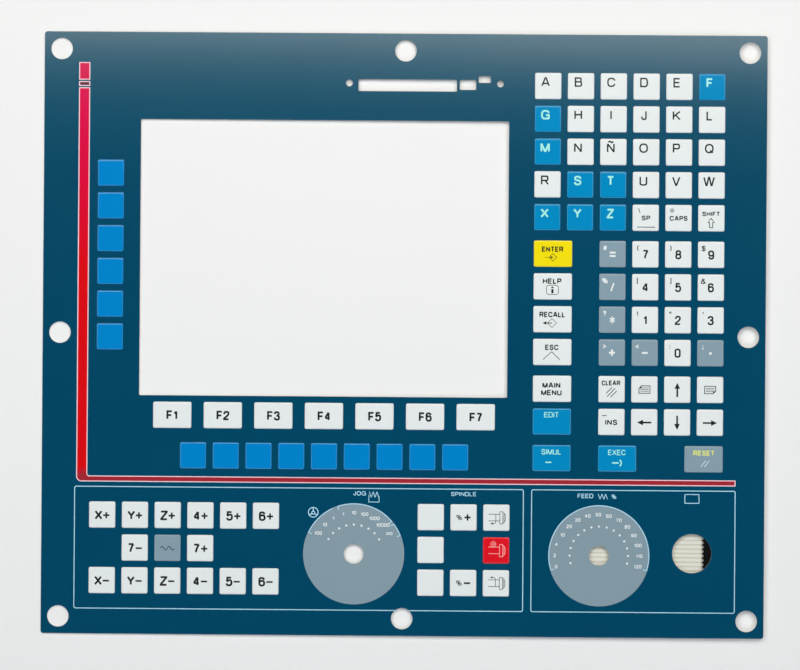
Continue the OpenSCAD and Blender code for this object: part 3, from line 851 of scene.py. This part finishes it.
for ink, text, block, row, dx, dy, cap, width in LABELS:
    x, y = key_at(block, row, 0)
    words(ink, text, x + dx, y + dy, cap, KEY_LEVEL, PLAIN if ink is pale_legend else BOLD, width)


def diamond(ink, x, y, half):
    """The outline of a small diamond."""
    stroke(ink, [(x + half, y), (x, y + half), (x - half, y), (x, y - half)], 0.3, KEY_LEVEL, True)


# signs under the words of the wide keys, and on the cursor keys
x, y = key_at("modes", 0, 0)
diamond(black_legend, x - 0.1, y - 2.1, 2.2)
arrow(black_legend, x - 2.3, y - 2.1, 0, 5.2, KEY_LEVEL, 0.25, (1.6, 1.6))
x, y = key_at("modes", 1, 0)
stroke(black_legend, rounded(x - 0.2, y - 2.0, 7.0, 5.4, 1.4, 4), 0.32, KEY_LEVEL, True)
for low, high in ((-4.0, -1.5), (-1.0, -0.1)):
    stroke(black_legend, [(x - 0.2, y + low), (x - 0.2, y + high)], 1.25, KEY_LEVEL)
x, y = key_at("modes", 2, 0)
diamond(black_legend, x - 0.3, y - 2.2, 2.6)
arrow(black_legend, x - 3.0, y - 2.2, 180, 5.6, KEY_LEVEL, 0.5, (2.2, 2.1))
x, y = key_at("modes", 3, 0)
stroke(black_legend, [(x - 5.4, y - 4.35), (x - 0.4, y + 0.2), (x + 4.4, y - 4.35)], 0.4, KEY_LEVEL)
x, y = key_at("cursor", 0, 0)
for x0, y0, x1, y1 in ((-3.1, -2.4, 0.2, 1.1), (-2.6, -4.3, 2.0, 0.6), (-0.6, -4.6, 2.9, -1.0)):
    stroke(black_legend, [(x + x0, y + y0), (x + x1, y + y1)], THIN, KEY_LEVEL)
x, y = key_at("cursor", 1, 0)
stroke(black_legend, [(x - 5.4, y + 3.7), (x - 2.8, y + 3.7)], 0.5, KEY_LEVEL)
for row, column, turn in ((0, 2, 90), (1, 1, 180), (1, 2, 270), (1, 3, 0)):
    x, y = key_at("cursor", row, column)
    arrow(black_legend, x, y - 0.15, turn, 8.2, KEY_LEVEL, 1.0, (3.4, 3.3))

# the two page keys show a small sheet with its lines, one corner turned at the upper left or lower right
for column, side in ((1, -1), (3, 1)):
    x, y = key_at("cursor", 0, column)
    w, h, fold = side * 3.2, side * -2.15, side * 1.5
    y -= 0.05
    corner = [(x + w, y + h + fold), (x + w - fold, y + h)]
    sheet = [(x - w, y - h), (x + w, y - h), *corner, (x - w, y + h)]
    stroke(black_legend, sheet, THIN, KEY_LEVEL, True)
    patch(black_legend, [*corner, (x + w - fold, y + h + fold)], KEY_LEVEL)
    for rise in (0.95, 0.0, -0.95):
        short = 1.6 if rise * side < -0.5 else 0.7
        line = [(x - w + side * 0.7, y + rise), (x + w - side * short, y + rise)]
        stroke(black_legend, line, FINE, KEY_LEVEL)

# marks under the words of the three keys below
x, y = key_at("simulate", 0, 0)
stroke(pale_legend, [(x - 3.6, y - 2.4), (x - 0.1, y - 2.4)], 0.8, KEY_LEVEL)
x, y = key_at("execute", 0, 0)
stroke(pale_legend, [(x - 2.9, y - 2.5), (x + 0.8, y - 2.5)], 0.9, KEY_LEVEL)
stroke(pale_legend, arc(x + 0.2, y - 2.5, 2.2, -55, 55, 8), 0.8, KEY_LEVEL)
x, y = key_at("reset", 0, 0)
for shift in (0, 2.0):
    stroke(white_legend, [(x + shift - 1.55, y - 4.5), (x + shift + 1.25, y - 0.7)], FINE, KEY_LEVEL)

# function keys, jog keys and spindle speed keys carry one mark each, the last two with a plus or a minus
FUNCTION_CAP = 5.5
for column in range(7):
    x, y = key_at("function", 0, column)
    half, width = (1.5, 2.4) if column == 0 else (1.8, 3.6)
    y -= 0.15
    words(black_legend, "F", x - half, y, FUNCTION_CAP, KEY_LEVEL, STRONG, 3.5)
    words(black_legend, str(column + 1), x + 0.3 + half, y, FUNCTION_CAP, KEY_LEVEL, STRONG, width)


def plus_or_minus(ink, sign, x, y):
    """A plus or a minus about its middle."""
    reach, bar = 1.8, 1.0
    stroke(ink, [(x - reach, y), (x + reach, y)], bar, KEY_LEVEL)
    if sign == "+":
        stroke(ink, [(x, y - reach), (x, y + reach)], bar, KEY_LEVEL)


JOG_CAP = 5.6
JOG_ROWS = (
    ("X+", "Y+", "Z+", "4+", "5+", "6+"),
    ("", "7-", "", "7+"),
    ("X-", "Y-", "Z-", "4-", "5-", "6-"),
)
for row, marks in enumerate(JOG_ROWS):
    for column, mark in enumerate(marks):
        if mark:
            x, y = key_at("jog", row, column)
            width = 4.5 if mark[0] in "XYZ" else 4.0
            words(black_legend, mark[0], x - 2.1, y - 0.2, JOG_CAP, KEY_LEVEL, STRONG, width)
            plus_or_minus(black_legend, mark[1], x + 2.4, y - 0.3)
x, y = key_at("jog", 1, 2)
hump = [(x - 4 + 0.25 * k, y - 0.2 + 1.1 * math.sin(k * math.pi / 8)) for k in range(33)]
stroke(black_legend, hump, 0.4, KEY_LEVEL)
for row, sign in ((0, "+"), (2, "-")):
    x, y = key_at("spindle", row, 1)
    words(black_legend, "%", x - 2.5, y, 3.1, KEY_LEVEL, SLIM, 3.3)
    plus_or_minus(black_legend, sign, x + 2.3, y)

# three spindle keys show a chuck with its jaws on a shaft, turning one way, stopped, or turning the other
JAWS = ((3.8, 3.0), (4.7, 2.4), (5.2, 1.0), (5.2, -1.1), (4.7, -2.5), (3.8, -3.1))
for row, ink, line in ((0, black_legend, 0.34), (1, pink_legend, 0.42), (2, black_legend, 0.34)):
    x, y = key_at("spindle", row, 2)
    stroke(ink, rounded(x + 2.9, y - 0.05, 1.8, 7.1, 0.2, 2), line, KEY_LEVEL, True)
    stroke(ink, [(x + px, y + py) for px, py in JAWS], line, KEY_LEVEL)
    stroke(ink, [(x + 4.5, y - 2.2), (x + 4.5, y + 2.1)], 0.3, KEY_LEVEL)
    for rise in (2.0, -1.85):
        stroke(ink, [(x - 4.5, y + rise), (x + 2.0, y + rise)], line, KEY_LEVEL)
    if row == 1:
        stroke(ink, circle(x - 1.7, y + 3.7, 3.0, 24), 0.4, KEY_LEVEL, True)
        stroke(ink, circle(x - 1.7, y + 3.7, 1.2, 16), line, KEY_LEVEL, True)
    else:
        up = 1 if row == 2 else -1
        stroke(ink, [(x - 0.3, y - 1.9), (x - 0.3, y + 2.0)], line, KEY_LEVEL)
        stroke(ink, arc(x - 1.7, y + up * 2.1, 1.4, 0, up * 115, 8), line, KEY_LEVEL)
        arrow(ink, x - 2.6, y + up * 3.4, 180, 1.6, KEY_LEVEL, line, (1.3, 1.4))

# names and signs of the groups, white on the face
NAME_WEIGHT = 0.17
WHITE_LINE, ZIGZAG_LINE = 0.5, 0.38


def zigzag(points):
    """Sharp turns on the face, drawn stroke by stroke so that each keeps its width."""
    for start, end in zip(points, points[1:]):
        stroke(face_legend, [start, end], ZIGZAG_LINE, FACE_LEVEL)


x, y = JOG_DIAL
words(face_legend, "JOG", x + 3.2, y + 35.2, 2.5, FACE_LEVEL, NAME_WEIGHT, 7.4)
TRAY = ((8.7, 34.4), (8.5, 30.2), (14.6, 30.2), (14.5, 33.6))
stroke(face_legend, [(x + px, y + py) for px, py in TRAY], 0.4, FACE_LEVEL)
turns = [(x + 8.9 + 1.1 * k, y + (36.2 if k % 2 == 0 else 32.9)) for k in range(1, 6)]
zigzag([(x + 8.8, y + 36.2), *turns])

# a small handwheel stands beside the jog dial
x, y = x - 23.65, y + 23.95
stroke(face_legend, circle(x, y, 5.65, 40), WHITE_LINE, FACE_LEVEL, True)
stroke(face_legend, circle(x, y - 0.2, 1.7, 24), WHITE_LINE, FACE_LEVEL, True)
for turn in (90, 215, 325):
    c, s = math.cos(math.radians(turn)), math.sin(math.radians(turn))
    spoke = [(x + 0.9 * c, y + 0.9 * s - 0.2), (x + 2.8 * c, y + 2.8 * s)]
    stroke(face_legend, spoke, 0.6, FACE_LEVEL)

x, y = key_at("spindle", 0, 1)
words(face_legend, "SPINDLE", x, y + 13.55, 2.4, FACE_LEVEL, PLAIN, 14.8)
x, y = FEED_DIAL
words(face_legend, "FEED", x - 8.0, y + 34.7, 2.6, FACE_LEVEL, NAME_WEIGHT, 9.1)
words(face_legend, "%", x + 8.5, y + 34.4, 2.6, FACE_LEVEL, PLAIN, 2.7)
zigzag([(x - 0.6 + 1.08 * k, y + (35.9 if k % 2 == 0 else 32.9)) for k in range(6)])
x, y = STOP
stroke(face_legend, rounded(x - 0.1, y + 31.75, 8.2, 5.1, 0.2, 2), THIN, FACE_LEVEL, True)

# scales of the two dials
DOT_RADIUS, DOT_D = 17.0, 1.25
NUMERAL_RADIUS, NUMERAL_CAP = 23.9, 2.1
RIM, RIM_LINE, RIM_TICK = 29.05, 0.48, 2.0
SCALE_STEP = 15


def dial_scale(centre, marks, start, shift):
    """The numerals and dots of a dial, at even steps clockwise from the first angle.

    The numerals may stand a little to one side of the dots."""
    x, y = centre
    for k, mark in enumerate(marks):
        turn = math.radians(start - k * SCALE_STEP)
        c, s = math.cos(turn), math.sin(turn)
        patch(white_legend, circle(x + DOT_RADIUS * c, y + DOT_RADIUS * s, DOT_D, 20), DIAL_LEVEL)
        far = NUMERAL_RADIUS + (1.2 if mark in ("0", "2", "4") else 0)
        words(white_legend, mark, x + shift + far * c, y + far * s, NUMERAL_CAP, DIAL_LEVEL, FIRM)


def rim_line(centre, start, end, ticks):
    """A white line along a dial's rim, with inward ticks at the ends that are named."""
    x, y = centre
    stroke(face_legend, arc(x, y, RIM, start, end, 48), RIM_LINE, DIAL_LEVEL)
    for turn in ticks:
        c, s = math.cos(math.radians(turn)), math.sin(math.radians(turn))
        tick = [(x + r * c, y + r * s) for r in (RIM - RIM_TICK, RIM)]
        stroke(face_legend, tick, RIM_LINE, DIAL_LEVEL)


JOG_MARKS = ("100", "10", "1", "1", "10", "100", "1000", "10000", "∞")
FEED_MARKS = ("0", "2", "4") + tuple(str(n) for n in range(10, 121, 10))
dial_scale(JOG_DIAL, JOG_MARKS, 150, 0.0)
dial_scale(FEED_DIAL, FEED_MARKS, 195, -0.45)
rim_line(FEED_DIAL, 197, -17, (197, -17))
rim_line(JOG_DIAL, 155, 115, (155,))
rim_line(JOG_DIAL, 109, 41, (109, 41))
rim_line(JOG_DIAL, 37, 22, (37, 22))

# points of ink this close are one point, and edges shorter than a sliver are closed
SAME_POINT, SLIVER = 0.0001, 0.0005


def layer(ink):
    """One clean layer of faces from fields of ink that may lie across each other."""
    shape = bmesh.new()
    for level, fields in ink.items():
        points, outlines = [], []
        for field in fields:
            turn = sum(a[0] * b[1] - b[0] * a[1] for a, b in zip(field, field[1:] + field[:1]))
            outlines.append(list(range(len(points), len(points) + len(field))))
            points += field if turn > 0 else field[::-1]
        cut = delaunay_2d_cdt([Vector(p) for p in points], [], outlines, 0, SAME_POINT)
        found, cells, sources = cut[0], cut[2], cut[5]
        inked = [cell for cell, source in zip(cells, sources) if source]
        used = sorted({i for cell in inked for i in cell})
        corners = {i: shape.verts.new((found[i].x * MM, found[i].y * MM, level * MM)) for i in used}
        for cell in inked:
            shape.faces.new([corners[i] for i in cell])
    bmesh.ops.dissolve_degenerate(shape, dist=SLIVER * MM, edges=shape.edges[:])
    return shape


black_ink = printed_film("black_print_satin_polyester", "#232427", "#2A2B2E")
yellow_ink = printed_film("yellow_print_satin_polyester", "#E4E884", "#DEE27E")
# the same yellow lies thinly over bright blue, which turns it pale and green
pale_ink = printed_film("thin_yellow_print_satin_polyester", "#ABF5EA", "#A5EFE3")
# and white lies thinly over red, which turns it pink
pink_ink = printed_film("thin_white_print_satin_polyester", "#FFA6A6", "#FAA0A0")
for ink, name, material, slot in (
    (black_legend, "black_legends", black_ink, None),
    (white_legend, "white_legends", inks["white"], "white_ink"),
    (face_legend, "face_legends", white_line, None),
    (yellow_legend, "yellow_legends", yellow_ink, None),
    (pale_legend, "pale_legends", pale_ink, None),
    (pink_legend, "pink_legends", pink_ink, None),
):
    shape = layer(ink)
    thicken(shape, LEGEND_T)
    piece(shape, name, material)

# Floor
# A plain pale tabletop, tipped by less than half a degree so that the stiff model lies on it along its
# left edge and on the bend of its tail.

# Matt painted board: almost white, with a trace of cloud in the paint.
BOARD_CLOUD = 300
BOARD_HALF = 6.0
board, tree, place = blank("matt_painted_board")
cloud = add(
    tree,
    "ShaderNodeTexNoise",
    {"Scale": 1 / (BOARD_CLOUD * MM), "Detail": 2.0},
    {"Vector": place},
)
paint = add(
    tree,
    "ShaderNodeMix",
    {6: linear("#EFF0F2"), 7: linear("#ECEDEF")},
    {0: cloud.outputs[0]},
    data_type="RGBA",
)
shader = add(
    tree,
    "ShaderNodeBsdfPrincipled",
    {"Roughness": 0.85, "Specular IOR Level": 0.2},
    {"Base Color": paint.outputs[2]},
)

# far outside the picture the board runs into a pale backdrop, which lights nothing
BACKDROP = linear("#E8EAEB")
BACKDROP_START, BACKDROP_END = 0.36, 0.9


def in_sight(tree):
    """One for rays that are seen, straight, in a mirror or through a pane, and nought for light."""
    rays = add(tree, "ShaderNodeLightPath").outputs
    seen = rays["Is Camera Ray"]
    for way in ("Is Glossy Ray", "Is Transmission Ray"):
        seen = add(tree, "ShaderNodeMath", links={0: seen, 1: rays[way]}, operation="MAXIMUM").outputs[0]
    return seen


away = add(tree, "ShaderNodeVectorMath", links={0: place}, operation="LENGTH").outputs["Value"]
distance = add(
    tree,
    "ShaderNodeMapRange",
    {"From Min": BACKDROP_START, "From Max": BACKDROP_END},
    {"Value": away},
    interpolation_type="SMOOTHSTEP",
)
seen_far = {0: in_sight(tree), 1: distance.outputs[0]}
share = add(tree, "ShaderNodeMath", links=seen_far, operation="MULTIPLY")
backdrop = add(tree, "ShaderNodeEmission", {"Color": BACKDROP})
layers = {0: share.outputs[0], 1: shader.outputs[0], 2: backdrop.outputs[0]}
both = add(tree, "ShaderNodeMixShader", links=layers)
add(tree, "ShaderNodeOutputMaterial", links={"Surface": both.outputs[0]})

# the sheet's left edge and the bend of the tail, which the board just clears
EDGE_X, EDGE_Z = -210.0, 2.6
BEND_X, BEND_Z = 80.5, 0.5
BOARD_GAP = 0.02
slope = (BEND_Z - EDGE_Z) / (BEND_X - EDGE_X)
floor = bmesh.new()
corners = []
for side, end in ((-1, -1), (1, -1), (1, 1), (-1, 1)):
    x, y = side * BOARD_HALF, end * BOARD_HALF
    z = EDGE_Z * MM + slope * (x - EDGE_X * MM) - BOARD_GAP * MM
    corners.append(floor.verts.new((x, y, z)))
floor.faces.new(corners)
mesh = bpy.data.meshes.new("floor")
floor.to_mesh(mesh)
floor.free()
mesh.materials.append(board)
tabletop = bpy.data.objects.new("floor", mesh)
bpy.context.scene.collection.objects.link(tabletop)
tabletop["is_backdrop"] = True

# Light
# One broad soft box beyond the top edge, whose reflection lays a pale veil on the upper part of the
# film, and three dimmer boxes beyond the other sides. Straight overhead it is nearly dark.


def soft_box(name, place, aim, size, power, tint, turn=0):
    """A rectangular lamp that faces a point, turned about the upright by so many degrees."""
    lamp = bpy.data.lights.new(name, "AREA")
    lamp.shape = "RECTANGLE"
    lamp.size, lamp.size_y = size
    lamp.energy = power
    lamp.color = linear(tint)[:3]
    made = bpy.data.objects.new(name, lamp)
    made.location = place
    across, along, down = np.array(aim, float) - np.array(place, float)
    tilt = math.atan2(math.hypot(across, along), -down)
    heading = math.atan2(across, -along) + math.pi + math.radians(turn)
    made.rotation_euler = (tilt, 0, heading)
    bpy.context.scene.collection.objects.link(made)


WARM, COOL = "#FFFBF0", "#F0F6FF"
MIDDLE = (0, 0, 0)
soft_box("top_box", (0, 0.94, 1.6), (0, 0.94, 0), (2.2, 1.2), 33, WARM, -1.5)
soft_box("left_box", (-1.0, 0, 1.55), MIDDLE, (1.6, 0.7), 6, COOL)
soft_box("right_box", (1.0, 0, 1.55), MIDDLE, (1.6, 0.7), 6, COOL)
soft_box("front_box", (0, -1.05, 1.55), MIDDLE, (2.0, 0.8), 9, COOL)
room = bpy.data.worlds.new("room")
bpy.context.scene.world = room
room.use_nodes = True
tree = room.node_tree
tree.nodes.clear()
CEILING_GLOW = 0.015
glow = add(tree, "ShaderNodeBackground", {"Color": linear("#FFFFFF"), "Strength": CEILING_GLOW})

# the backdrop goes on round the horizon and darkens upwards, so that the film mirrors the dark ceiling
HORIZON, CEILING = 0.04, 0.16
backdrop = add(tree, "ShaderNodeBackground", {"Color": BACKDROP})
way = add(tree, "ShaderNodeTexCoord").outputs["Generated"]
rise = add(tree, "ShaderNodeSeparateXYZ", links={"Vector": way}).outputs["Z"]
low_down = add(
    tree,
    "ShaderNodeMapRange",
    {"From Min": CEILING, "From Max": HORIZON},
    {"Value": rise},
    interpolation_type="SMOOTHSTEP",
)
seen_low = {0: in_sight(tree), 1: low_down.outputs[0]}
share = add(tree, "ShaderNodeMath", links=seen_low, operation="MULTIPLY")
layers = {0: share.outputs[0], 1: glow.outputs[0], 2: backdrop.outputs[0]}
both = add(tree, "ShaderNodeMixShader", links=layers)
add(tree, "ShaderNodeOutputWorld", links={"Surface": both.outputs[0]})
bpy.context.scene.view_settings.view_transform = "Standard"

# Size
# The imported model's box and the dressed model's box, side by side.
low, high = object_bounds()
